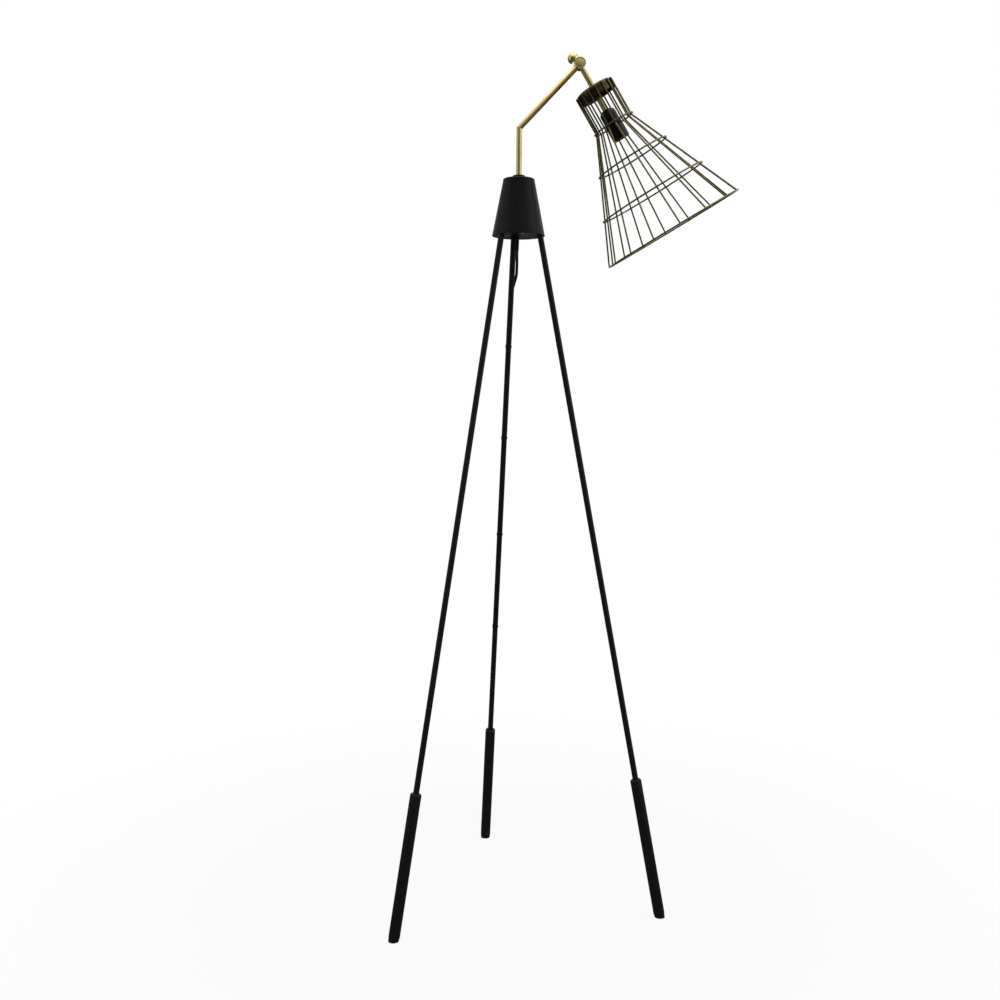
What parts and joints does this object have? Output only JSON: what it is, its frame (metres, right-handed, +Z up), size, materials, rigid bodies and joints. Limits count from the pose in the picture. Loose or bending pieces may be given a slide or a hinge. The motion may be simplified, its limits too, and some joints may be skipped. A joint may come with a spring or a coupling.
{
  "type": "tripod floor lamp",
  "caption": "Floor lamp on a slim black tripod with a cone-shaped hub, a bent brass arm on a turning post, and a flared wire cage shade on a locking swivel.",
  "frame": {"origin": "on the floor, on the tripod's centre line under the hub", "axes": "+Z up the post; +X from the post towards the shade, along the arm at rest; +Y to the back, where the lead leaves"},
  "size_m": [0.6509, 0.726, 1.6166],
  "materials": {
    "black_paint": "satin black powder coat",
    "steel": "zinc-plated",
    "rubber": "matte",
    "lead_jacket": "matte black",
    "tie_plastic": "matte black",
    "polished_brass": "satin polished brass",
    "aged_brass": "dark aged brass",
    "black_bakelite": "glossy black"
  },
  "bodies": {
    "stand": {"hub_shell": "black_paint", "leg_block": "steel", "collar_bush": "black_paint", "bush_washer": "steel", "bush_nut": "steel", "stop_peg": "steel", "hub_plate": "black_paint", "plate_screws": "steel", "strain_relief": "rubber", "hub_lead": "lead_jacket", "leg_1": "black_paint", "leg_2": "black_paint", "leg_3": "black_paint", "foot_sleeve_1": "black_paint", "foot_sleeve_2": "black_paint", "foot_sleeve_3": "black_paint", "foot_pad_1": "rubber", "foot_pad_2": "rubber", "foot_pad_3": "rubber", "foot_screws": "steel", "lead_ties": "tie_plastic", "lead_run": "lead_jacket", "lead_hank": "lead_jacket", "hank_tie": "tie_plastic", "lead_tail": "lead_jacket", "plug_body": "lead_jacket", "plug_blades": "polished_brass"},
    "arm": {"post_tube": "polished_brass", "arm_tube": "polished_brass", "arm_nipple": "steel", "friction_washer": "steel", "ring_nut": "steel", "stop_pin": "steel", "post_lead": "lead_jacket", "arm_lead": "lead_jacket", "swivel_drum": "polished_brass", "drum_cover": "polished_brass"},
    "lock": {"lock_screw": "steel", "lock_knob": "polished_brass"},
    "head": {"swivel_rotor": "steel", "stem_tube": "polished_brass", "stem_lead": "lead_jacket", "cap_seat": "polished_brass", "shade_cap": "aged_brass", "cap_nut": "polished_brass", "cage_wires": "aged_brass", "cage_ring_1": "aged_brass", "cage_ring_2": "aged_brass", "cage_ring_3": "aged_brass", "cage_rim": "aged_brass", "socket_cap": "black_bakelite", "socket_shell": "black_bakelite", "socket_core": "black_bakelite", "screw_shell": "polished_brass", "centre_contact": "polished_brass"},
    "key": {"switch_key": "black_bakelite"}
  },
  "joints": [
    {"name": "arm_swivel", "type": "hinge", "parent": "stand", "child": "arm", "pos_m": [0, 0, 1.385], "axis": [0, 0, 1], "range_deg": [-165, 165]},
    {"name": "head_tilt", "type": "hinge", "parent": "arm", "child": "head", "pos_m": [0.1111, 0, 1.5949], "axis": [0, -1, 0], "range_deg": [-12, 75]},
    {"name": "lock_turn", "type": "hinge", "parent": "arm", "child": "lock", "pos_m": [0.1111, 0.00515, 1.5949], "axis": [-0.7278, 0, 0.6858], "range_deg": [0, 360]},
    {"name": "key_turn", "type": "hinge", "parent": "head", "child": "key", "pos_m": [0.16711, 0, 1.50279], "axis": [-0.264, -0.9511, -0.1605], "continuous": true}
  ]
}
